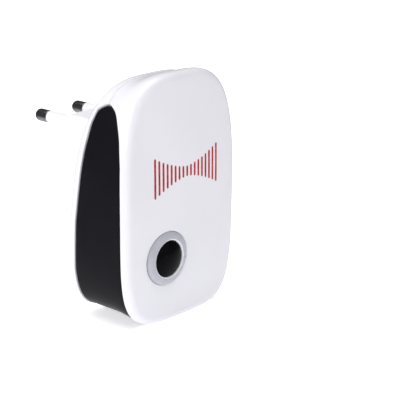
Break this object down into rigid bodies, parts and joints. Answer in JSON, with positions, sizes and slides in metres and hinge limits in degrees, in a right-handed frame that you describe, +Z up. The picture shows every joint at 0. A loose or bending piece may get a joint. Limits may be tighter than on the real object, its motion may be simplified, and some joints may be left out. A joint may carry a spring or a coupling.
{
  "type": "ultrasonic pest repeller",
  "caption": "Plug-in wall unit with white front and back covers, a black side band, a two-pin plug base, a round push button in a grey bezel, and its electronics inside.",
  "frame": {"origin": "centre of the plug base's flat socket face, halfway between the pins", "axes": "+Y out of the socket face along the pins, +Z up, +X to the right of someone who looks at the front cover, which faces -Y"},
  "size_m": [0.0578, 0.0706, 0.0927],
  "materials": {
    "white_plastic": "satin gloss white moulded plastic",
    "black_plastic": "satin black moulded plastic with a fine texture",
    "sleeve_plastic": "white insulating sleeve",
    "pin_metal": "dark nickel plated round pin",
    "bezel_grey": "grey plated ring",
    "button_black": "polished black dome",
    "component_dark": "dark moulded component body",
    "lamp_clear": "clear lamp body",
    "board_green": "green solder mask over glass laminate",
    "capacitor_amber": "dipped amber capacitor case",
    "capacitor_sleeve": "dark blue shrink sleeve",
    "resistor_body": "lacquered ceramic resistor body",
    "piezo_brass": "thin brass diaphragm",
    "piezo_ceramic": "silvered ceramic disc",
    "lead_red": "red wire insulation",
    "lead_black": "black wire insulation",
    "lead_brown": "brown wire insulation",
    "lead_blue": "blue wire insulation",
    "screw_steel": "zinc plated steel"
  },
  "bodies": {
    "housing": {"front_cover": "white_plastic", "back_cover": "white_plastic", "side_band": "black_plastic", "plug_base": "white_plastic", "pin_left": "pin_metal", "pin_right": "pin_metal", "sleeve_left": "sleeve_plastic", "sleeve_right": "sleeve_plastic", "bezel_ring": "bezel_grey", "switch_body": "component_dark", "lamp_upper": "lamp_clear", "lamp_left": "lamp_clear", "lamp_right": "lamp_clear", "circuit_board": "board_green", "film_capacitor": "capacitor_amber", "smoothing_capacitor": "capacitor_sleeve", "step_up_coil": "component_dark", "rectifier_block": "component_dark", "driver_chip": "component_dark", "driver_transistor": "component_dark", "fuse_resistor": "resistor_body", "bleed_resistor": "resistor_body", "piezo_brass_disc": "piezo_brass", "piezo_ceramic_disc": "piezo_ceramic", "piezo_lead_red": "lead_red", "piezo_lead_black": "lead_black", "mains_lead_left": "lead_brown", "mains_lead_right": "lead_blue", "housing_screw_lower_left": "screw_steel", "housing_screw_lower_right": "screw_steel", "housing_screw_upper_left": "screw_steel", "housing_screw_upper_right": "screw_steel", "board_screw_upper": "screw_steel", "board_screw_lower": "screw_steel"},
    "button": {"button_cap": "button_black", "button_stem": "black_plastic", "switch_plunger": "black_plastic"}
  },
  "joints": [
    {"name": "button_press", "type": "slide", "parent": "housing", "child": "button", "axis": [0, 1, 0], "range_m": [0, 0.0012], "stiffness_N_per_m": 600, "springref_m": -0.0006}
  ]
}
